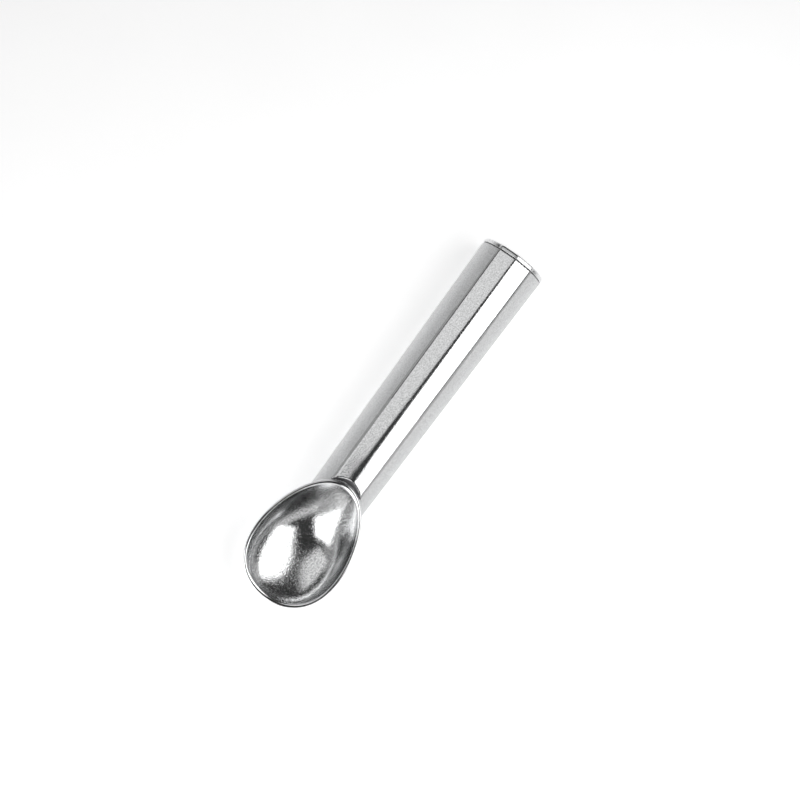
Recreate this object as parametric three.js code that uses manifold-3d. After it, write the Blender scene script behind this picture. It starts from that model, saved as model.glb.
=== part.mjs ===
// Ice cream scoop: one casting with an egg-shaped bowl and a hollow, tapering handle, closed at its end.
// Millimetres. The handle's axis runs along +X from the bowl, and +Z is up out of the bowl.
import * as THREE from 'three';
import { mergeVertices } from 'three/addons/utils/BufferGeometryUtils.js';
import Module from 'manifold-3d';

const wasm = await Module();
wasm.setup();

// Driving dimensions of the whole scoop
const overallLength = 184;
const clearance = 0.3;

// Bowl: an egg seen from above, with its widest line at x = 0
const bowlWidth = 44;
const bowlFront = 25;
const bowlRear = 36;
const bowlDepth = 15.5;
const bowlFloor = 2.6;
const rimLand = 1.7;
const rimRound = 0.8;
const rimTilt = THREE.MathUtils.degToRad(10);

// Cup of the bowl: on the way down its outline swells across, draws in along and gets more even,
// and the floor falls towards the handle
const cupPower = 1.6;
const cupShift = 2.7;
const cupSwell = 0.17;
const cupDraw = 0.3;
const cupEvening = 0.65;
const cupRake = THREE.MathUtils.degToRad(10.5);

// Handle: oval flanks that widen towards the end
const neckWidth = 26.6;
const neckHeight = 24.2;
const endWidth = 30.8;
const endHeight = 28.5;
const neckDrop = 0.8;
const neckLength = 16;
const neckBlend = 4.5;
const neckFade = 12;
const neckGrowth = 10;

// Raised panel along the top of the handle
const neckPanelWidth = 15.2;
const endPanelWidth = 17.6;
const panelRise = 0.8;
const panelStep = 0.5;
const panelCrown = 18;

// Valley between the rim and the panel
const valleyDepth = 1.3;
const valleyFoot = 0.4;
const valleyDraft = THREE.MathUtils.degToRad(45);

// Fluid chamber in the handle, with the seat of its plug
const chamberNeckWall = 7;
const chamberNeckBore = 16;
const chamberEndBore = 20.6;
const fluidLevel = 5.6;
const plugBore = 23.2;
const plugLength = 6;
const plugChamfer = 0.6;
const sealSection = 2;
const sealGroove = 2.6;

// Cap over the end of the handle
const capThickness = 2.2;
const capRound = 1;
const jointChamfer = 0.25;
const capBossLength = 2.1;

// Smoothness of the facets
const roundSteps = 40;
const eggSteps = 64;
const domeSteps = 12;
const cupSteps = 14;
const lipSteps = 3;
const crownSteps = 6;
const flankSteps = 18;
const neckSteps = 20;
const noseSteps = 6;
const sealSteps = 10;
const reachSteps = 2000;
const tolerance = 0.001;

// The egg: an ellipse stretched by u = eggReach c + eggSkew c c, for c from -1 at the lip to 1 at the handle
const halfWidth = bowlWidth / 2;
const eggReach = (bowlRear + bowlFront) / 2;
const eggSkew = (bowlRear - bowlFront) / 2;

// Lowest reach of the tilted bowl's outer side under the middle of its rim
const shellDepth = bowlDepth + bowlFloor;
const bowlDrop = Math.max(...steps(reachSteps).map((turn) => {
  const c = Math.cos(turn * Math.PI);
  const depth = mix(rimRound, shellDepth, Math.sin(turn * Math.PI));
  return depth * Math.cos(rimTilt) - (eggReach * c + eggSkew * c * c) * Math.sin(rimTilt);
}));

// Height of the rim's middle over the handle's axis, with which bowl and handle rest on one table
const rimHeight = bowlDrop - endHeight / 2;

// Places along the handle that follow from the sizes above
const capFace = overallLength - bowlFront * Math.cos(rimTilt);
const neckX = bowlRear * Math.cos(rimTilt);
const neckRoot = -neckGrowth / 2;
const neckEnd = neckX + neckLength + neckBlend;
const handleEnd = capFace - capThickness - clearance;
const plugOuterFace = capFace - capThickness - capBossLength - clearance;
const plugInnerFace = plugOuterFace - plugLength;
const plugSeat = plugInnerFace - clearance;
const chamberTip = neckX + chamberNeckWall;

const aluminium = { color: 0xc9cacc, metalness: 1 };

function solid(geometry) {
  geometry.deleteAttribute('normal');
  geometry.deleteAttribute('uv');
  const merged = mergeVertices(geometry, 1e-4);
  const vertProperties = new Float32Array(merged.attributes.position.array);
  const triVerts = new Uint32Array(merged.index.array);
  return new wasm.Manifold(new wasm.Mesh({ numProp: 3, vertProperties, triVerts }));
}

function geometryOf(manifold) {
  const mesh = manifold.getMesh();
  const geometry = new THREE.BufferGeometry();
  geometry.setAttribute('position', new THREE.BufferAttribute(mesh.vertProperties, 3));
  geometry.setIndex(new THREE.BufferAttribute(mesh.triVerts, 1));
  geometry.computeVertexNormals();
  return geometry;
}

// Skin over rings of equal counts, closed by a fan to a point at each end
function loft(rings, startPoint, endPoint) {
  const count = rings[0].length;
  const points = [...rings.flat(), startPoint, endPoint];
  const start = points.length - 2;
  const end = points.length - 1;
  const last = (rings.length - 1) * count;
  const index = [];
  for (let j = 0; j < count; j += 1) {
    const next = (j + 1) % count;
    index.push(start, next, j);
    index.push(end, last + j, last + next);
    for (let base = 0; base < last; base += count) {
      index.push(base + j, base + next, base + count + next);
      index.push(base + j, base + count + next, base + count + j);
    }
  }
  const geometry = new THREE.BufferGeometry().setFromPoints(points);
  geometry.setIndex(index);
  return geometry;
}

// A turned piece: [x, radius] pairs revolved about the handle's axis
function turned(profile) {
  const points = profile.map(([x, radius]) => new THREE.Vector2(radius, x));
  return new THREE.LatheGeometry(points, roundSteps).rotateZ(-Math.PI / 2);
}

function mix(from, to, share) {
  return from + (to - from) * share;
}

function steps(count) {
  return Array.from({ length: count + 1 }, (_, i) => i / count);
}

// Frame of the rim: u towards the handle, v across, w down into the bowl
const rimU = new THREE.Vector3(Math.cos(rimTilt), 0, Math.sin(rimTilt));
const rimW = new THREE.Vector3(Math.sin(rimTilt), 0, -Math.cos(rimTilt));
const rimCentre = new THREE.Vector3(0, 0, rimHeight);

function rimPoint(u, v, w) {
  return new THREE.Vector3(0, v, 0).addScaledVector(rimU, u).addScaledVector(rimW, w).add(rimCentre);
}

// One ring of the egg, grown outwards by `offset`, then shrunk by `share`, at a depth below the rim
function eggRing(offset, share, depth) {
  return steps(eggSteps).slice(1).map((turn) => {
    const c = share * Math.cos(turn * 2 * Math.PI);
    const v = share * (halfWidth + offset) * Math.sin(turn * 2 * Math.PI);
    return rimPoint((eggReach + offset) * c + eggSkew * c * c, v, depth);
  });
}

// Rings of a dome from near its pole up to its edge
function domeRings(offset, edgeDepth, poleDepth) {
  return steps(domeSteps).slice(1).map((share) => {
    const angle = (share * Math.PI) / 2;
    return eggRing(offset, Math.sin(angle), mix(edgeDepth, poleDepth, Math.cos(angle)));
  });
}

// Depth of the cup at a share of its fall, deepest under the place to which its middle is shifted
function cupDepth(u, fall) {
  const slope = Math.tan(cupRake);
  return (bowlDepth - slope * cupShift) * fall + slope * u * fall * fall;
}

// One ring of the cup, shrunk by `share`, at a share of its fall
function cupRing(share, fall) {
  const half = (halfWidth - rimLand) * (1 + cupSwell * fall);
  const reach = (eggReach - rimLand) * (1 - cupDraw * fall);
  const skew = eggSkew * (1 - cupEvening * fall);
  return steps(eggSteps).slice(1).map((turn) => {
    const c = share * Math.cos(turn * 2 * Math.PI);
    const u = cupShift * fall + reach * c + skew * c * c;
    return rimPoint(u, share * half * Math.sin(turn * 2 * Math.PI), cupDepth(u, fall));
  });
}

// Rings of the cup from below the lip down to near its deepest place
function cupRings() {
  return steps(cupSteps).slice(1, -1).map((part) => {
    const angle = (part * Math.PI) / 2;
    return { share: Math.cos(angle), fall: Math.sin(angle) ** (2 / cupPower) };
  }).filter(({ fall }) => fall * bowlDepth > 2 * rimRound).map(({ share, fall }) => cupRing(share, fall));
}

// Rounded lip of the rim, from outside to inside
function rimRings() {
  const outer = steps(lipSteps).map((share) => (share * Math.PI) / 2);
  const ring = (angle, edge, way) => eggRing(
    edge - way * rimRound * (1 - Math.cos(angle)), 1, rimRound * (1 - Math.sin(angle)));
  return [
    ...outer.slice(1).map((angle) => ring(angle, 0, 1)),
    ...outer.reverse().map((angle) => ring(angle, -rimLand, -1)),
  ];
}

function bowlShell() {
  const rings = [
    ...domeRings(0, rimRound, shellDepth),
    ...rimRings(),
    ...cupRings(),
  ];
  return solid(loft(rings, rimPoint(0, 0, shellDepth), rimPoint(cupShift, 0, cupDepth(cupShift, 1))));
}

// Space of the bowl up to the middle of its wall, with the room above it
function bowlSpace() {
  const middle = bowlDepth + bowlFloor / 2;
  const rings = [
    ...domeRings(-rimLand / 2, rimRound, middle),
    eggRing(-rimLand / 2, 1, -endHeight),
  ];
  return solid(loft(rings, rimPoint(0, 0, middle), rimPoint(0, 0, -endHeight)));
}

// Room between the rim and the end of the panel, with drafted walls
function valleySpace() {
  const foot = eggRing(valleyFoot, 1, valleyDepth);
  const spread = (valleyDepth + endHeight) * Math.tan(valleyDraft);
  const mouth = eggRing(valleyFoot + spread, 1, -endHeight);
  return solid(loft([foot, mouth], rimPoint(0, 0, valleyDepth), rimPoint(0, 0, -endHeight)));
}

// Sizes of the handle's section at a place along it
function handleSizes(x) {
  const share = (x - neckX) / (handleEnd - neckX);
  const near = THREE.MathUtils.smoothstep(x, neckX, neckX + neckLength);
  return {
    across: mix(neckWidth, endWidth, share) / 2,
    panel: mix(neckPanelWidth, endPanelWidth, share) / 2,
    height: mix(neckHeight, endHeight, share) / 2 - neckDrop * (1 - near),
  };
}

// Right half of the section as [y, z], from the top of the panel round to the bottom
function halfSection(x) {
  const { across, panel, height } = handleSizes(x);
  const footShare = Math.sqrt(1 - (panel / across) ** 2);
  const edgeY = panel - panelStep;
  const edgeZ = height * footShare + panelRise;
  const crown = (y) => Math.sqrt(panelCrown ** 2 - y * y) - Math.sqrt(panelCrown ** 2 - edgeY * edgeY);
  const top = steps(crownSteps).map((share) => [edgeY * share, edgeZ + crown(edgeY * share)]);
  const footAngle = Math.asin(footShare);
  const flank = steps(flankSteps).map((share) => {
    const angle = mix(footAngle, -Math.PI / 2, share);
    return [across * Math.cos(angle), height * Math.sin(angle)];
  });
  return [...top, ...flank];
}

// Distance from the bowl's outer wall, near enough close to it: negative inside
function bowlDistance(point) {
  const place = point.clone().sub(rimCentre);
  const reach = Math.max(eggReach ** 2 + 4 * eggSkew * place.dot(rimU), 0);
  const c = eggSkew === 0 ? place.dot(rimU) / eggReach : (Math.sqrt(reach) - eggReach) / (2 * eggSkew);
  const slope = 1 / Math.max(eggReach + 2 * eggSkew * c, tolerance);
  const below = place.dot(rimW) - rimRound;
  const depth = Math.max(below, 0);
  const fall = shellDepth - rimRound;
  const size = Math.hypot(c, place.y / halfWidth, depth / fall);
  const toWall = ((size - 1) * size) / Math.hypot(c * slope, place.y / halfWidth ** 2, depth / fall ** 2);
  return Math.max(toWall, -below);
}

function handleDistance(point) {
  const { across, height } = handleSizes(point.x);
  const size = Math.hypot(point.y / across, point.z / height);
  return ((size - 1) * size) / Math.hypot(point.y / across ** 2, point.z / height ** 2);
}

// Radius along a ray from the handle's axis at which the skin of bowl and handle lies, with the
// fillet between them, which grows along the neck and sinks into the bowl's wall towards the rim
function blendRadius(x, direction) {
  const growth = THREE.MathUtils.smoothstep(x, neckRoot, neckRoot + neckGrowth);
  const blended = (radius) => {
    const point = new THREE.Vector3(x, radius * direction[0], radius * direction[1]);
    const below = point.clone().sub(rimCentre).dot(rimW) - valleyDepth;
    const fade = THREE.MathUtils.smoothstep(below, 0, neckFade);
    const blend = mix(tolerance, neckBlend, fade * growth);
    const toBowl = bowlDistance(point) + mix(neckBlend, clearance, fade);
    const toHandle = handleDistance(point);
    const near = Math.max(blend - Math.abs(toBowl - toHandle), 0) / blend;
    return Math.min(toBowl, toHandle) - (near * near * blend) / 4;
  };
  let inside = tolerance;
  let outside = bowlWidth;
  while (outside - inside > tolerance) {
    const middle = (inside + outside) / 2;
    if (blended(middle) < 0) {
      inside = middle;
    } else {
      outside = middle;
    }
  }
  return inside;
}

// Whole section of the handle, with the neck's fillet where the bowl is near
function handleRing(x) {
  const right = halfSection(x);
  const left = right.slice(1, -1).map(([y, z]) => [-y, z]);
  return [...left, ...right.reverse()].map(([y, z]) => {
    const own = Math.hypot(y, z);
    const radius = x > neckEnd ? own : Math.max(own, blendRadius(x, [y / own, z / own]));
    return new THREE.Vector3(x, (y * radius) / own, (z * radius) / own);
  });
}

// A flat section shrunk by an inset, for chamfers and rounded edges
function insetRing(ring, x, inset) {
  return ring.map((point) => {
    const radius = Math.hypot(point.y, point.z);
    return new THREE.Vector3(x, point.y, point.z).multiply(
      new THREE.Vector3(1, 1 - inset / radius, 1 - inset / radius));
  });
}

function handleSkin() {
  const rings = [
    ...steps(neckSteps).map((share) => handleRing(mix(neckRoot, neckEnd, share))),
    handleRing(handleEnd - jointChamfer),
    insetRing(handleRing(handleEnd), handleEnd, jointChamfer),
  ];
  return solid(loft(rings, new THREE.Vector3(neckRoot, 0, 0), new THREE.Vector3(handleEnd, 0, 0)));
}

// Fluid chamber with a round nose, less a gap all round
function chamberProfile(gap, end) {
  const nose = chamberNeckBore / 2 - gap;
  const noseCentre = chamberTip + chamberNeckBore / 2;
  const share = (end - noseCentre) / (plugSeat - noseCentre);
  const arc = steps(noseSteps).map((part) => {
    const angle = (part * Math.PI) / 2;
    return [noseCentre - nose * Math.cos(angle), nose * Math.sin(angle)];
  });
  arc[0][1] = 0;
  return [...arc, [end, mix(chamberNeckBore, chamberEndBore, share) / 2 - gap]];
}

function chamberSpace() {
  return solid(turned([
    ...chamberProfile(0, plugSeat),
    [plugSeat, plugBore / 2],
    [handleEnd + clearance, plugBore / 2],
    [handleEnd + clearance, 0],
  ]));
}

function scoopBody() {
  const handle = handleSkin().subtract(bowlSpace()).subtract(valleySpace());
  return geometryOf(handle.add(bowlShell()).subtract(chamberSpace()));
}

// Fluid charge: the chamber's shape up to its level
function heatFluid() {
  const charge = solid(turned([...chamberProfile(clearance, plugSeat), [plugSeat, 0]]));
  const size = overallLength * 2;
  const air = new THREE.BoxGeometry(size, size, size).translate(0, 0, fluidLevel + size / 2);
  return geometryOf(charge.subtract(solid(air)));
}

const plugRadius = plugBore / 2 - clearance;
const sealRadius = plugBore / 2 - clearance - sealSection / 2;
const sealPlace = (plugInnerFace + plugOuterFace) / 2;

// Plug with a chamfered nose and the groove of its seal
function endPlug() {
  const floor = sealRadius - sealSection / 2 - clearance;
  return turned([
    [plugInnerFace, 0],
    [plugInnerFace, plugRadius - plugChamfer],
    [plugInnerFace + plugChamfer, plugRadius],
    [sealPlace - sealGroove / 2, plugRadius],
    [sealPlace - sealGroove / 2, floor],
    [sealPlace + sealGroove / 2, floor],
    [sealPlace + sealGroove / 2, plugRadius],
    [plugOuterFace, plugRadius],
    [plugOuterFace, 0],
  ]);
}

function plugSeal() {
  const ring = new THREE.TorusGeometry(sealRadius, sealSection / 2, sealSteps, roundSteps);
  return ring.rotateY(Math.PI / 2).translate(sealPlace, 0, 0);
}

// Cap with the outline of the handle's end, a rounded edge and a boss that enters the bore
function endCap() {
  const seat = capFace - capThickness;
  const outline = handleRing(handleEnd);
  const round = steps(lipSteps).map((share) => (share * Math.PI) / 2);
  const rings = [
    insetRing(outline, seat, jointChamfer),
    insetRing(outline, seat + jointChamfer, 0),
    ...round.map((angle) => insetRing(
      outline, capFace - capRound * (1 - Math.sin(angle)), capRound * (1 - Math.cos(angle)))),
  ];
  const plate = solid(loft(rings, new THREE.Vector3(seat, 0, 0), new THREE.Vector3(capFace, 0, 0)));
  const inner = seat - capBossLength;
  const buried = seat + capThickness / 2;
  const boss = solid(turned([
    [inner, 0],
    [inner, plugRadius],
    [buried, plugRadius],
    [buried, 0],
  ]));
  return geometryOf(plate.add(boss));
}

function piece(name, geometry, look) {
  const mesh = new THREE.Mesh(geometry, new THREE.MeshStandardMaterial(look));
  mesh.name = name;
  return mesh;
}

const scoop = new THREE.Group();
scoop.add(
  piece('scoop_body', scoopBody(), { ...aluminium, roughness: 0.22 }),
  piece('heat_fluid', heatFluid(), { color: 0xb9d6e6, roughness: 0.05, metalness: 0 }),
  piece('end_plug', endPlug(), { ...aluminium, roughness: 0.4 }),
  piece('plug_seal', plugSeal(), { color: 0x1b1b1c, roughness: 0.7, metalness: 0 }),
  piece('end_cap', endCap(), { ...aluminium, roughness: 0.25 }),
);

// The scoop lies on its back: its origin is the middle of the floor under it
const bounds = new THREE.Box3().setFromObject(scoop);
const middle = bounds.getCenter(new THREE.Vector3());
scoop.position.set(-middle.x, 0, -bounds.min.z);

export default scoop;
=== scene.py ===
"""Ice cream scoop: the cast body and its cap as fine closed surfaces, their metal, and the studio.

Lengths of the scoop are in millimetres in the tool's own frame: the handle's axis is x, the bowl's widest
line is at x = 0 and z is up out of the bowl. Blender's objects are in metres in the frame of the solids.
A form is a field of distances from its surface, below zero inside, and fields join with rounded edges.
"""
import math

import bpy
import numpy as np
from mathutils import Matrix, Vector


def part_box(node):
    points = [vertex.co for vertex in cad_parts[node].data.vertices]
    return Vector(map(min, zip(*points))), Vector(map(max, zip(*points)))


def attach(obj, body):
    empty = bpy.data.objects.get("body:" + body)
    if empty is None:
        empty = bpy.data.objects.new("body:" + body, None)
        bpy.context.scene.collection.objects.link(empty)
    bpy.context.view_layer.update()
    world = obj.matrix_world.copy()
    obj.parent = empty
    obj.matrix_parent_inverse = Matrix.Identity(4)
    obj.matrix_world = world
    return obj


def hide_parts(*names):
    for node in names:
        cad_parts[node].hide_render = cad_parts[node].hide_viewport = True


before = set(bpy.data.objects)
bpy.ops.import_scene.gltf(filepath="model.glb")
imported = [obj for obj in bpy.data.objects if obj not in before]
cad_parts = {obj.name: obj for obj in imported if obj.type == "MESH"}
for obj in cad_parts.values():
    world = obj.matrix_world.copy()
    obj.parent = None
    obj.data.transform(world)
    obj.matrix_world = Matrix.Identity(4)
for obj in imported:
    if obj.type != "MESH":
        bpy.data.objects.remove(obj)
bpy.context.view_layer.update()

# Sizes of the scoop, as in the solids
OVERALL_LENGTH, CLEARANCE = 184.0, 0.3
BOWL_WIDTH, BOWL_FRONT, BOWL_REAR = 44.0, 25.0, 36.0
BOWL_DEPTH, BOWL_FLOOR = 15.5, 2.6
RIM_LAND, RIM_ROUND, RIM_TILT = 1.7, 0.8, math.radians(10)
CUP_POWER, CUP_SHIFT, CUP_SWELL = 1.6, 2.7, 0.17
CUP_DRAW, CUP_EVENING, CUP_SLOPE = 0.3, 0.65, math.tan(math.radians(10.5))
NECK_WIDTH, NECK_HEIGHT, END_WIDTH, END_HEIGHT = 26.6, 24.2, 30.8, 28.5
NECK_DROP, NECK_LENGTH, NECK_BLEND, NECK_FADE, NECK_GROWTH = 0.8, 16.0, 4.5, 12.0, 10.0
NECK_PANEL, END_PANEL, PANEL_RISE, PANEL_STEP, PANEL_CROWN = 15.2, 17.6, 0.8, 0.5, 18.0
VALLEY_DEPTH, VALLEY_FOOT, VALLEY_DRAFT = 1.3, 0.4, math.radians(45)
CHAMBER_WALL, CHAMBER_NECK, CHAMBER_END = 7.0, 16.0, 20.6
PLUG_BORE, PLUG_LENGTH, CAP_THICKNESS, CAP_ROUND, CAP_BOSS = 23.2, 6.0, 2.2, 1.0, 2.1

# Half the width of the crown's rounder middle
PANEL_MIDDLE = 1.1

# Widths over which two surfaces are rounded into each other
RIM_BLEND, CAP_BLEND, END_BLEND, BORE_BLEND = RIM_ROUND * 1.2, CAP_ROUND * 1.2, 0.35, 0.2
PANEL_EDGE_BLEND, PANEL_FOOT_BLEND = 0.7, 0.2
VALLEY_FLOOR_BLEND, VALLEY_EDGE_BLEND, RIM_FOOT_BLEND = 0.4, 0.5, 0.3

# Sizes worked out from them, with the rim as high as the bowl's lowest point needs
TURN_STEPS = 4001
HALF = BOWL_WIDTH / 2
REACH = (BOWL_REAR + BOWL_FRONT) / 2
SKEW = (BOWL_REAR - BOWL_FRONT) / 2
SHELL_DEPTH = BOWL_DEPTH + BOWL_FLOOR
COS, SIN = math.cos(RIM_TILT), math.sin(RIM_TILT)
turn = np.linspace(-1, 1, TURN_STEPS)
RIM_HEIGHT = float(np.max(
    (RIM_ROUND + (SHELL_DEPTH - RIM_ROUND) * np.sqrt(1 - turn ** 2)) * COS
    - (REACH * turn + SKEW * turn ** 2) * SIN)) - END_HEIGHT / 2
CAP_FACE = OVERALL_LENGTH - BOWL_FRONT * COS
CAP_SEAT = CAP_FACE - CAP_THICKNESS
HANDLE_END = CAP_SEAT - CLEARANCE
NECK_X = BOWL_REAR * COS
PLUG_SEAT = CAP_SEAT - CAP_BOSS - CLEARANCE - PLUG_LENGTH - CLEARANCE
CHAMBER_NOSE = NECK_X + CHAMBER_WALL + CHAMBER_NECK / 2

# Place of the tool's frame in the frame of the solids
METRE = 1000.0
SHIFT = np.array([
    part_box("scoop_body")[0].x * METRE + BOWL_FRONT * COS - RIM_ROUND * SIN, 0.0, END_HEIGHT / 2])

# Grid on which the fields are sampled: spacings, margins, and where it starts to follow the handle's taper
FINE, ALONG_HANDLE, AT_END, IN_CAP = 0.44, 2.0, 0.25, 0.2
END_STRETCH, MARGIN, TOP_MARGIN, CAP_MARGIN = 3.0, 1.0, 1.5, 0.6
TAPER_START, TAPER_FULL = NECK_X - 4, NECK_X + 12

# Limits that keep the fields and the search for their surface steady
TINY, LEAST_GRADE, LEAST_STRETCH, BORE_OVERLAP = 1e-9, 1e-4, 1.0, 1.0
LOWEST_FALL, LEAST_ROOT, LEAST_SKEW, LEAST_CUP_GRADE = 1.3, 0.02, 0.05, 0.02
PROBE, SETTLING_ROUNDS, LONGEST_MOVE, LEAST_SLOPE = 0.01, 4, 0.15, 0.1

# Parts of the casting's surface, in the order of its materials, and how they are told apart
CUP, RIM, PANEL, FLANK, GROOVE, PANEL_SIDE = range(6)
NEAR, RIM_DEPTH, CUP_START, BEHIND_RIM, SIDE_LEVEL = 0.12, 0.45, 0.35, 0.3, 0.82


def smooth_min(a, b, k):
    near = np.maximum(k - np.abs(a - b), 0) / k
    return np.minimum(a, b) - near * near * k / 4


def smooth_max(a, b, k):
    return -smooth_min(-a, -b, k)


def smooth_step(value, low, high):
    share = np.clip((value - low) / (high - low), 0, 1)
    return share * share * (3 - 2 * share)


def mix(a, b, share):
    return a + (b - a) * share


def rim_frame(x, y, z):
    """Along the rim's plane towards the handle, across, and down into the bowl."""
    dz = z - RIM_HEIGHT
    return x * COS + dz * SIN, y, x * SIN - dz * COS


def egg_share(u, reach):
    """Place along the egg outline, from -1 at its front to 1 at the handle."""
    return (np.sqrt(np.maximum(reach ** 2 + 4 * SKEW * u, 0)) - reach) / (2 * SKEW)


def egg_distance(u, v, grown):
    """Distance from the egg outline grown by an offset."""
    reach, half = REACH + grown, HALF + grown
    c = egg_share(u, reach)
    size = np.sqrt(c * c + (v / half) ** 2) + TINY
    slope = c / np.maximum(reach + 2 * SKEW * c, LEAST_STRETCH)
    return (size - 1) * size / np.maximum(np.hypot(slope, v / half ** 2), LEAST_GRADE)


def dome_distance(u, v, w):
    """Distance from the bowl's outer side, which goes straight up above its edge."""
    fall = SHELL_DEPTH - RIM_ROUND
    c = egg_share(u, REACH)
    depth = np.maximum(w - RIM_ROUND, 0)
    size = np.sqrt(c * c + (v / HALF) ** 2 + (depth / fall) ** 2) + TINY
    slope = c / np.maximum(REACH + 2 * SKEW * c, LEAST_STRETCH)
    grade = np.sqrt(slope ** 2 + (v / HALF ** 2) ** 2 + (depth / fall ** 2) ** 2)
    return (size - 1) * size / np.maximum(grade, LEAST_GRADE)


def cup_level(u, v, w):
    """Below zero in the bowl's space, whose outline changes with its fall from the rim to the floor."""
    deep = BOWL_DEPTH - CUP_SLOPE * CUP_SHIFT
    down = np.clip(w / deep, 0, LOWEST_FALL)
    fall = 2 * down / (1 + np.sqrt(np.maximum(1 + 4 * CUP_SLOPE * u / deep * down, LEAST_ROOT)))
    reach = (REACH - RIM_LAND) * (1 - CUP_DRAW * fall)
    skew = SKEW * np.maximum(1 - CUP_EVENING * fall, LEAST_SKEW)
    c = (np.sqrt(np.maximum(reach ** 2 + 4 * skew * (u - CUP_SHIFT * fall), 0)) - reach) / (2 * skew)
    half = (HALF - RIM_LAND) * (1 + CUP_SWELL * fall)
    return c * c + (v / half) ** 2 + fall ** CUP_POWER - 1


def cup_distance(u, v, w):
    """Distance from the space of the bowl."""
    level = cup_level(u, v, w)
    grade = np.sqrt(
        (cup_level(u + PROBE, v, w) - level) ** 2 + (cup_level(u, v + PROBE, w) - level) ** 2
        + (cup_level(u, v, w + PROBE) - level) ** 2) / PROBE
    return level / np.maximum(grade, LEAST_CUP_GRADE)


def handle_sizes(x):
    """Half the handle's width, half the panel's width and half the handle's height."""
    share = (x - NECK_X) / (HANDLE_END - NECK_X)
    near = smooth_step(x, NECK_X, NECK_X + NECK_LENGTH)
    across = mix(NECK_WIDTH, END_WIDTH, share) / 2
    panel = mix(NECK_PANEL, END_PANEL, share) / 2
    height = mix(NECK_HEIGHT, END_HEIGHT, share) / 2 - NECK_DROP * (1 - near)
    return across, panel, height


def oval_distance(y, z, across, height):
    size = np.sqrt((y / across) ** 2 + (z / height) ** 2) + TINY
    return (size - 1) * size / np.maximum(np.hypot(y / across ** 2, z / height ** 2), LEAST_GRADE)


def panel_distance(y, z, across, panel, height):
    """Distances from the raised panel, a crowned top between two drafted sides, and from its top alone.

    The crown is as high as the arc of the solids, with flatter sides and a rounder middle.
    """
    foot = height * np.sqrt(1 - (panel / across) ** 2)
    edge = panel - PANEL_STEP
    crown = PANEL_CROWN - np.sqrt(PANEL_CROWN ** 2 - edge ** 2)
    share = crown / np.log(np.cosh(edge / PANEL_MIDDLE))
    drop = share * np.log(np.cosh(y / PANEL_MIDDLE))
    slope = share / PANEL_MIDDLE * np.tanh(y / PANEL_MIDDLE)
    top = (z - foot - PANEL_RISE - crown + drop) / np.sqrt(1 + slope ** 2)
    side = (np.abs(y) - panel) * PANEL_RISE + (z - foot) * PANEL_STEP
    side = side / math.hypot(PANEL_RISE, PANEL_STEP)
    return np.maximum(smooth_max(top, side, PANEL_EDGE_BLEND), foot - 2 * PANEL_RISE - z), top


def section_distance(y, z, across, panel, height):
    """Distance from the handle's outline with its panel, and from the panel alone."""
    rail, top = panel_distance(y, z, across, panel, height)
    outline = smooth_min(oval_distance(y, z, across, height), rail, PANEL_FOOT_BLEND)
    return np.maximum(outline, top), rail


def valley_distance(u, v, w):
    """Distance from the drafted room between the rim and the panel's end."""
    spread = VALLEY_FOOT + np.maximum(VALLEY_DEPTH - w, 0) * math.tan(VALLEY_DRAFT)
    wall = egg_distance(u, v, spread) * math.cos(VALLEY_DRAFT)
    return smooth_max(wall, w - VALLEY_DEPTH, VALLEY_FLOOR_BLEND)


def chamber_distance(x, y, z):
    """Distance from the handle's bore: a round nose, a cone and the plug's seat."""
    radius = np.hypot(y, z)
    share = (x - CHAMBER_NOSE) / (PLUG_SEAT - CHAMBER_NOSE)
    cone = np.maximum(radius - mix(CHAMBER_NECK, CHAMBER_END, share) / 2, x - PLUG_SEAT - BORE_OVERLAP)
    nose = np.hypot(x - CHAMBER_NOSE, radius) - CHAMBER_NECK / 2
    bore = np.maximum(radius - PLUG_BORE / 2, PLUG_SEAT - x)
    return np.minimum(np.where(x < CHAMBER_NOSE, nose, cone), bore)


def body_parts(x, y, z):
    """The casting's fields, outer skin, cup and panel, and the depth under the rim's plane."""
    u, v, w = rim_frame(x, y, z)
    handle, rail = section_distance(y, z, *handle_sizes(x))
    handle = smooth_max(handle, x - HANDLE_END, END_BLEND)
    handle = smooth_max(handle, -valley_distance(u, v, w), VALLEY_EDGE_BLEND)
    handle = np.maximum(handle, -NECK_GROWTH / 2 - x)
    bowl = smooth_max(dome_distance(u, v, w), -w, RIM_BLEND)
    fade = smooth_step(w - VALLEY_DEPTH, 0, NECK_FADE) * smooth_step(x, -NECK_GROWTH / 2, NECK_GROWTH / 2)
    skin = smooth_min(handle, bowl, RIM_FOOT_BLEND + (NECK_BLEND - RIM_FOOT_BLEND) * fade)
    return skin, cup_distance(u, v, w), rail, w


def body_field(x, y, z):
    skin, cup, _, _ = body_parts(x, y, z)
    body = smooth_max(skin, -cup, RIM_BLEND)
    return smooth_max(body, -chamber_distance(x, y, z), BORE_BLEND)


def cap_field(x, y, z):
    outline, _ = section_distance(y, z, *handle_sizes(np.full_like(x, HANDLE_END)))
    plate = smooth_max(outline, x - CAP_FACE, CAP_BLEND)
    plate = smooth_max(plate, CAP_SEAT - x, END_BLEND)
    boss = np.maximum(np.hypot(y, z) - PLUG_BORE / 2 + CLEARANCE, np.abs(x - CAP_SEAT) - CAP_BOSS)
    return np.minimum(plate, boss)


def to_tool(points):
    """Points of the sampling grid, in which the handle has no taper, to the tool's frame."""
    across, _, height = handle_sizes(np.maximum(points[:, 0], NECK_X))
    wide, tall = across / (END_WIDTH / 2), height / (END_HEIGHT / 2)
    blend = smooth_step(points[:, 0], TAPER_START, TAPER_FULL)
    return np.stack([
        points[:, 0], points[:, 1] * mix(1, wide, blend), points[:, 2] * mix(1, tall, blend)], axis=1)


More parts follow.
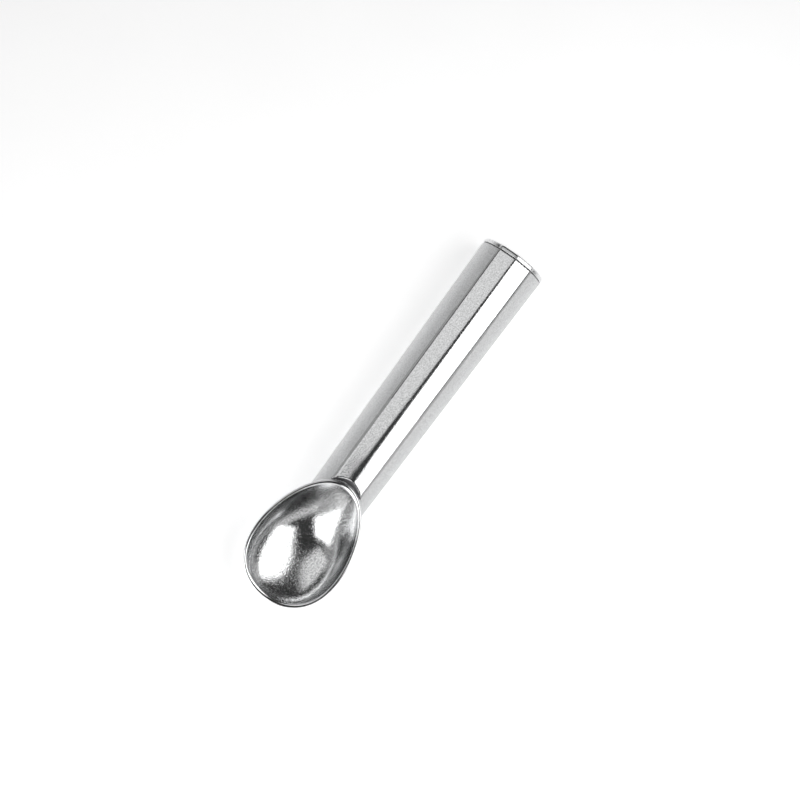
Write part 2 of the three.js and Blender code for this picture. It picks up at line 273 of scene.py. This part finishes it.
def gradient(field, points):
    grad = np.empty_like(points)
    for axis in range(3):
        step = np.zeros(3)
        step[axis] = PROBE
        ahead, behind = points + step, points - step
        grad[:, axis] = (field(*ahead.T) - field(*behind.T)) / (2 * PROBE)
    return grad


def sample(field, xs, ys, zs):
    """Values of a field at the corners of the grid."""
    values = np.empty((len(xs), len(ys), len(zs)), np.float32)
    plane = np.stack(np.meshgrid(ys, zs, indexing="ij"), axis=-1).reshape(-1, 2)
    for i, x in enumerate(xs):
        tool = to_tool(np.column_stack([np.full(len(plane), x), plane]))
        values[i] = field(*tool.T).reshape(len(ys), len(zs))
    return values


def crossings(values, cells, corners):
    """Mean place, in grid steps, of the points where the edges of each cell cross the surface."""
    place, hits = np.zeros((len(cells), 3)), np.zeros(len(cells))
    for low in corners:
        for axis in range(3):
            if low[axis]:
                continue
            high = np.array(low)
            high[axis] = 1
            first = values[tuple((cells + low).T)]
            second = values[tuple((cells + high).T)]
            cut = (first < 0) != (second < 0)
            spot = np.tile(np.array(low, float), (cut.sum(), 1))
            spot[:, axis] = first[cut] / (first[cut] - second[cut])
            place[cut] += spot
            hits[cut] += 1
    return cells + place / hits[:, None]


def rings(inside, number):
    """Quads between the four cells around each grid edge that crosses the surface, facing out."""
    quads = []
    for axis in range(3):
        first, second = (axis + 1) % 3, (axis + 2) % 3
        ahead = np.moveaxis(inside, axis, 0)
        edges = np.argwhere(ahead[:-1] != ahead[1:])
        order = np.argsort([axis] + [n for n in range(3) if n != axis])
        edges = edges[:, order]
        starts = inside[tuple(edges.T)]
        ring = []
        for a, b in ((-1, -1), (0, -1), (0, 0), (-1, 0)):
            cell = edges.copy()
            cell[:, first] += a
            cell[:, second] += b
            ring.append(number[tuple(cell.T)])
        ring = np.stack(ring, axis=1)
        ring[~starts] = ring[~starts][:, ::-1]
        quads.append(ring)
    return np.concatenate(quads)


def surface(field, xs, ys, zs):
    """Closed quads over the zero of a field, their points drawn onto it, and its normals."""
    values = sample(field, xs, ys, zs)
    inside = values < 0
    size = [n - 1 for n in inside.shape]
    corners = [(i, j, k) for i in (0, 1) for j in (0, 1) for k in (0, 1)]
    count = sum(
        inside[i:i + size[0], j:j + size[1], k:k + size[2]].astype(np.int8) for i, j, k in corners)
    cells = np.argwhere((count > 0) & (count < len(corners)))
    number = np.full(size, -1)
    number[tuple(cells.T)] = np.arange(len(cells))
    place = crossings(values, cells, corners)
    points = to_tool(np.column_stack([
        np.interp(place[:, axis], np.arange(len(line)), line) for axis, line in enumerate((xs, ys, zs))]))
    for _ in range(SETTLING_ROUNDS):
        grad = gradient(field, points)
        move = field(*points.T)[:, None] * grad / np.maximum((grad ** 2).sum(1), LEAST_SLOPE)[:, None]
        points -= np.clip(move, -LONGEST_MOVE, LONGEST_MOVE)
    grad = gradient(field, points)
    return points, rings(inside, number), grad / np.linalg.norm(grad, axis=1)[:, None]


def spaced(*stops):
    """Grid lines from stop to stop: (end, spacing) pairs after a start."""
    lines = [np.array([stops[0]])]
    for end, gap in stops[1:]:
        start = lines[-1][-1]
        lines.append(np.linspace(start, end, max(int(round((end - start) / gap)), 1) + 1)[1:])
    return np.concatenate(lines)


def make_piece(name, node, slot, points, quads, normals, materials, zones):
    """A smooth piece in the place of a solid, held within its box."""
    low, high = (np.array(corner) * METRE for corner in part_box(node))
    mesh = bpy.data.meshes.new(name)
    mesh.from_pydata((np.clip(points + SHIFT, low, high) / METRE).tolist(), [], quads.tolist())
    mesh.polygons.foreach_set("material_index", zones.astype(np.int32))
    mesh.polygons.foreach_set("use_smooth", np.ones(len(quads), bool))
    mesh.normals_split_custom_set_from_vertices(normals.tolist())
    piece = bpy.data.objects.new(name, mesh)
    bpy.context.scene.collection.objects.link(piece)
    for material in materials:
        mesh.materials.append(material)
    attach(piece, "root")
    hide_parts(node)


class Nodes:
    """A short way to write a node material."""

    def __init__(self, name):
        self.material = bpy.data.materials.new(name)
        self.material.use_nodes = True
        self.tree = self.material.node_tree
        self.shader = self.tree.nodes["Principled BSDF"]
        self.place = self.add("ShaderNodeTexCoord").outputs["Object"]

    def add(self, kind, inputs=None, **settings):
        node = self.tree.nodes.new(kind)
        for key, value in settings.items():
            setattr(node, key, value)
        for key, value in (inputs or {}).items():
            if isinstance(value, bpy.types.NodeSocket):
                self.tree.links.new(value, node.inputs[key])
            else:
                node.inputs[key].default_value = value
        return node

    def noise(self, scale, detail=3.0, roughness=0.55):
        return self.add("ShaderNodeTexNoise", {
            "Vector": self.place, "Scale": scale, "Detail": detail, "Roughness": roughness}).outputs["Fac"]

    def span(self, value, low, high, to_low, to_high):
        return self.add("ShaderNodeMapRange", {
            "Value": value, "From Min": low, "From Max": high, "To Min": to_low, "To Max": to_high,
        }).outputs["Result"]

    def math(self, operation, a, b):
        return self.add("ShaderNodeMath", {0: a, 1: b}, operation=operation).outputs[0]

    def ramp(self, value, *stops):
        node = self.add("ShaderNodeValToRGB", {"Fac": value})
        elements = node.color_ramp.elements
        while len(elements) < len(stops):
            elements.new(1.0)
        for element, (place, colour) in zip(elements, stops):
            element.position = place
            element.color = (*colour, 1)
        return node.outputs["Color"]

    def bump(self, height, distance, normal=None):
        inputs = {"Height": height, "Strength": 1.0, "Distance": distance}
        if normal is not None:
            inputs["Normal"] = normal
        return self.add("ShaderNodeBump", inputs).outputs["Normal"]

    def link(self, socket, output):
        self.tree.links.new(output, self.shader.inputs[socket])


# Scales of the metal's noises per metre, and the stretches of their values that are put to use
CLOUD_SCALE, GRAIN_SCALE, PIT_SCALE = 90.0, METRE / 0.6, METRE / 0.7
MIDDLE, SPECKS, PITS = (0.3, 0.7), (0.34, 0.62), (0.28, 0.46)
CLOUD_SHADE, MICROMETRES = 0.95, 1e6


def cast_metal(name, tone, gloss, spread, grain, pit, shade):
    """Cast aluminium: clouded and speckled tone, uneven gloss, fine grain and small pits.

    Gloss is the middle roughness and spread its variation, grain and pit are depths in micrometres, and
    shade is the share of the tone that is left between the specks.
    """
    n = Nodes(name)
    n.shader.inputs["Metallic"].default_value = 1.0
    cloud = n.noise(CLOUD_SCALE, 4.0)
    speck = n.noise(GRAIN_SCALE, 3.0, 0.7)
    pits = n.noise(PIT_SCALE, 1.0)
    grey = n.math("MULTIPLY", n.span(cloud, *MIDDLE, CLOUD_SHADE, 1.0), n.span(speck, *SPECKS, shade, 1.0))
    n.link("Base Color", n.ramp(grey, (0.0, (0.0, 0.0, 0.0)), (1.0, tone)))
    uneven = n.math("ADD", n.span(cloud, *MIDDLE, -spread, spread), n.span(speck, *MIDDLE, -spread, spread))
    n.link("Roughness", n.math("ADD", uneven, gloss))
    grained = n.bump(speck, grain / MICROMETRES)
    n.link("Normal", n.bump(n.span(pits, *PITS, 0.0, 1.0), pit / MICROMETRES, grained))
    return n.material


def plain_material(name, tone, gloss, metal, scale):
    """A turned, moulded or liquid inner piece with a little variation."""
    darker, spread, least = 0.88, 0.06, 0.02
    n = Nodes(name)
    n.shader.inputs["Metallic"].default_value = metal
    speck = n.noise(scale)
    n.link("Base Color", n.ramp(speck, *zip(MIDDLE, (tuple(darker * part for part in tone), tone))))
    n.link("Roughness", n.span(speck, *MIDDLE, max(gloss - spread, least), gloss + spread))
    return n.material


# Metals of the casting and the cap
BRIGHT, SATIN, STEP_SHADE_TONE, GROOVE_SHADE_TONE, CAP_TONE = (
    (0.90, 0.905, 0.91), (0.84, 0.845, 0.85), (0.56, 0.56, 0.565), (0.16, 0.16, 0.165), (0.80, 0.805, 0.81))
body_metals = (
    cast_metal("polished_cup", BRIGHT, gloss=0.15, spread=0.04, grain=24, pit=22, shade=0.6),
    cast_metal("polished_rim", BRIGHT, gloss=0.12, spread=0.02, grain=6, pit=4, shade=0.85),
    cast_metal("polished_panel", BRIGHT, gloss=0.14, spread=0.03, grain=16, pit=14, shade=0.7),
    cast_metal("satin_flank", SATIN, gloss=0.62, spread=0.06, grain=14, pit=10, shade=0.74),
    # The groove's metal has a near-black tone: painted shade of the deep groove between the rim and the
    # panel's end
    cast_metal("groove_painted_shade", GROOVE_SHADE_TONE, gloss=0.45, spread=0.06, grain=14, pit=10, shade=0.7),
    # The panel's steep sides have a darker tone: painted shade of the creases along the panel
    cast_metal("panel_step_painted_shade", STEP_SHADE_TONE, gloss=0.5, spread=0.06, grain=14, pit=10, shade=0.7),
)
cap_metal = cast_metal("cap_metal", CAP_TONE, gloss=0.26, spread=0.04, grain=8, pit=6, shade=0.8)


def body_zones(points, quads, normals):
    """The part of the casting's surface that each face belongs to."""
    middle = points[quads].mean(1)
    x, y, z = middle.T
    level = normals[quads].mean(1)[:, 2]
    skin, cup, rail, depth = body_parts(x, y, z)
    outside = np.abs(skin) < NEAR
    zones = np.full(len(quads), FLANK)
    zones[(np.abs(rail) < NEAR) & outside & (z > NECK_HEIGHT / 4)] = PANEL
    zones[(depth < RIM_DEPTH) & (x < NECK_X + BEHIND_RIM)] = RIM
    zones[(np.abs(cup) < NEAR) & (depth > CUP_START)] = CUP
    # Panel faces that turn away from up take the darker metal, a painted shade of the panel's creases
    zones[(zones == PANEL) & (level < SIDE_LEVEL)] = PANEL_SIDE
    # Faces of the groove between the rim and the panel's end, which take the painted shade
    valley = np.abs(valley_distance(*rim_frame(x, y, z))) < NEAR
    zones[valley & outside & (np.abs(y) < NECK_PANEL / 2) & (z > 0)] = GROOVE
    return zones


# The casting
body_x = spaced(
    -BOWL_FRONT - MARGIN, (NECK_X + NECK_LENGTH, FINE), (HANDLE_END - END_STRETCH, ALONG_HANDLE),
    (HANDLE_END + MARGIN, AT_END))
body_y = spaced(-HALF - MARGIN, (HALF + MARGIN, FINE))
body_z = spaced(-END_HEIGHT / 2 - MARGIN, (END_HEIGHT / 2 + TOP_MARGIN, FINE))
body = surface(body_field, body_x, body_y, body_z)
make_piece("scoop_body_cast", "scoop_body", "cast_body", *body, body_metals, body_zones(*body))

# The cap
cap_x = spaced(CAP_SEAT - CAP_BOSS - CAP_MARGIN, (CAP_FACE + CAP_MARGIN, IN_CAP))
cap_y = spaced(-END_WIDTH / 2 - MARGIN, (END_WIDTH / 2 + MARGIN, FINE))
cap = surface(cap_field, cap_x, cap_y, body_z)
make_piece("end_cap_cast", "end_cap", "cap", *cap, (cap_metal,), np.zeros(len(cap[1])))

# The pieces inside keep their solids
inner = {
    "heat_fluid": plain_material("fluid", (0.72, 0.84, 0.90), gloss=0.08, metal=0.0, scale=60.0),
    "end_plug": plain_material("turned_plug", (0.78, 0.785, 0.79), gloss=0.35, metal=1.0, scale=900.0),
    "plug_seal": plain_material("seal_rubber", (0.03, 0.03, 0.031), gloss=0.65, metal=0.0, scale=700.0),
}
for node, material in inner.items():
    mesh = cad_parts[node].data
    mesh.materials.clear()
    mesh.materials.append(material)

# Floor: pale paper with a glow of its own that lifts the shadows
FLOOR_HALF, FLOOR_GLOW, FLOOR_SCALE = 3.0, 0.45, 25.0
PAPER_DARK, PAPER_LIGHT = (0.93, 0.93, 0.93), (0.95, 0.95, 0.95)
scene = bpy.context.scene
scene.view_settings.view_transform = "Standard"
floor_corners = [(x * FLOOR_HALF, y * FLOOR_HALF, 0) for x, y in ((-1, -1), (1, -1), (1, 1), (-1, 1))]
floor_mesh = bpy.data.meshes.new("floor")
floor_mesh.from_pydata(floor_corners, [], [(0, 1, 2, 3)])
floor = bpy.data.objects.new("floor", floor_mesh)
scene.collection.objects.link(floor)
paper = Nodes("floor_paper")
paper.shader.inputs["Roughness"].default_value = 0.9
paper.shader.inputs["Specular IOR Level"].default_value = 0.1
paper.shader.inputs["Emission Color"].default_value = (1, 1, 1, 1)
paper.shader.inputs["Emission Strength"].default_value = FLOOR_GLOW
paper.link("Base Color", paper.ramp(paper.noise(FLOOR_SCALE), *zip(MIDDLE, (PAPER_DARK, PAPER_LIGHT))))
floor_mesh.materials.append(paper.material)

# World: white at the horizon and dim above
HORIZON_RISE, DIM_RISE, HORIZON_GLOW, DIM_GLOW = 0.02, 0.30, 0.8, 0.04
world = bpy.data.worlds.new("studio")
scene.world = world
world.use_nodes = True
tree = world.node_tree
sky = tree.nodes["Background"]
sky.inputs["Color"].default_value = (1, 1, 1, 1)
direction = tree.nodes.new("ShaderNodeTexCoord")
parts = tree.nodes.new("ShaderNodeSeparateXYZ")
fall = tree.nodes.new("ShaderNodeMapRange")
fall.inputs["From Min"].default_value = HORIZON_RISE
fall.inputs["From Max"].default_value = DIM_RISE
fall.inputs["To Min"].default_value = HORIZON_GLOW
fall.inputs["To Max"].default_value = DIM_GLOW
tree.links.new(direction.outputs["Generated"], parts.inputs["Vector"])
tree.links.new(parts.outputs["Z"], fall.inputs["Value"])
tree.links.new(fall.outputs["Result"], sky.inputs["Strength"])


def placed(across, rise, away, spot):
    """The matrix of a camera or a lamp from its axes and its place."""
    return Matrix((
        (across.x, rise.x, away.x, spot.x), (across.y, rise.y, away.y, spot.y),
        (across.z, rise.z, away.z, spot.z), (0, 0, 0, 1)))


# Camera at the photograph's viewing angle
IMAGE_PIXELS, FOCAL_PIXELS, SENSOR, CLIP_END = 800.0, 2355.0, 36.0, 20.0
right = Vector((0.5918, -0.8000, 0.0989))
up = Vector((0.7996, 0.5982, 0.0540))
back = right.cross(up).normalized()
up = back.cross(right).normalized()
right.normalize()
eye = Vector((-92.889, 51.779, 1032.011)) / METRE
camera_data = bpy.data.cameras.new("camera")
camera_data.sensor_width = SENSOR
camera_data.lens = FOCAL_PIXELS / IMAGE_PIXELS * SENSOR
camera_data.clip_end = CLIP_END
camera = bpy.data.objects.new("camera", camera_data)
camera.matrix_world = placed(right, up, back, eye)
scene.collection.objects.link(camera)
scene.camera = camera


def softbox(name, bearing, tilt, spin, distance, width, height, glow):
    """A soft light of even glow around the cup.

    Its bearing is anticlockwise from the right of the view, its tilt is away from the view's axis and its
    spin is about its own axis, in degrees. The distance and the size are in metres.
    """
    bearing, tilt, spin = math.radians(bearing), math.radians(tilt), math.radians(spin)
    aside = right * math.cos(bearing) + up * math.sin(bearing)
    way = back * math.cos(tilt) + aside * math.sin(tilt)
    flat = way.cross(back).normalized()
    steep = way.cross(flat).normalized()
    across = flat * math.cos(spin) + steep * math.sin(spin)
    rise = way.cross(across).normalized()
    data = bpy.data.lights.new(name, "AREA")
    data.shape = "RECTANGLE"
    data.size, data.size_y, data.energy = width, height, glow * math.pi * width * height
    lamp = bpy.data.objects.new(name, data)
    lamp.visible_camera = False
    lamp.matrix_world = placed(across, rise, way, cup_middle + way * distance)
    scene.collection.objects.link(lamp)


# Lights: bearing, tilt, spin, distance, width, height, glow
CUP_MIDDLE_HEIGHT = 0.012
cup_middle = Vector((SHIFT[0] / METRE, 0, CUP_MIDDLE_HEIGHT))
softbox("light_right", 0.0, 46.5, -8.0, 0.39, 0.5, 0.26, 2.1)
softbox("light_left", 216.6, 52.5, -47.9, 0.38, 0.35, 0.29, 2.1)
softbox("light_back", 111.5, 39.0, 13.1, 0.39, 0.344, 0.250, 0.78)
softbox("light_top", 28.2, 62.0, 67.8, 0.40, 0.446, 0.161, 0.3)
softbox("light_front", -67.4, 67.2, 11.0, 0.385, 0.62, 0.144, 0.6)
softbox("light_far", 159.4, 60.0, 32.6, 0.40, 0.32, 0.28, 0.28)
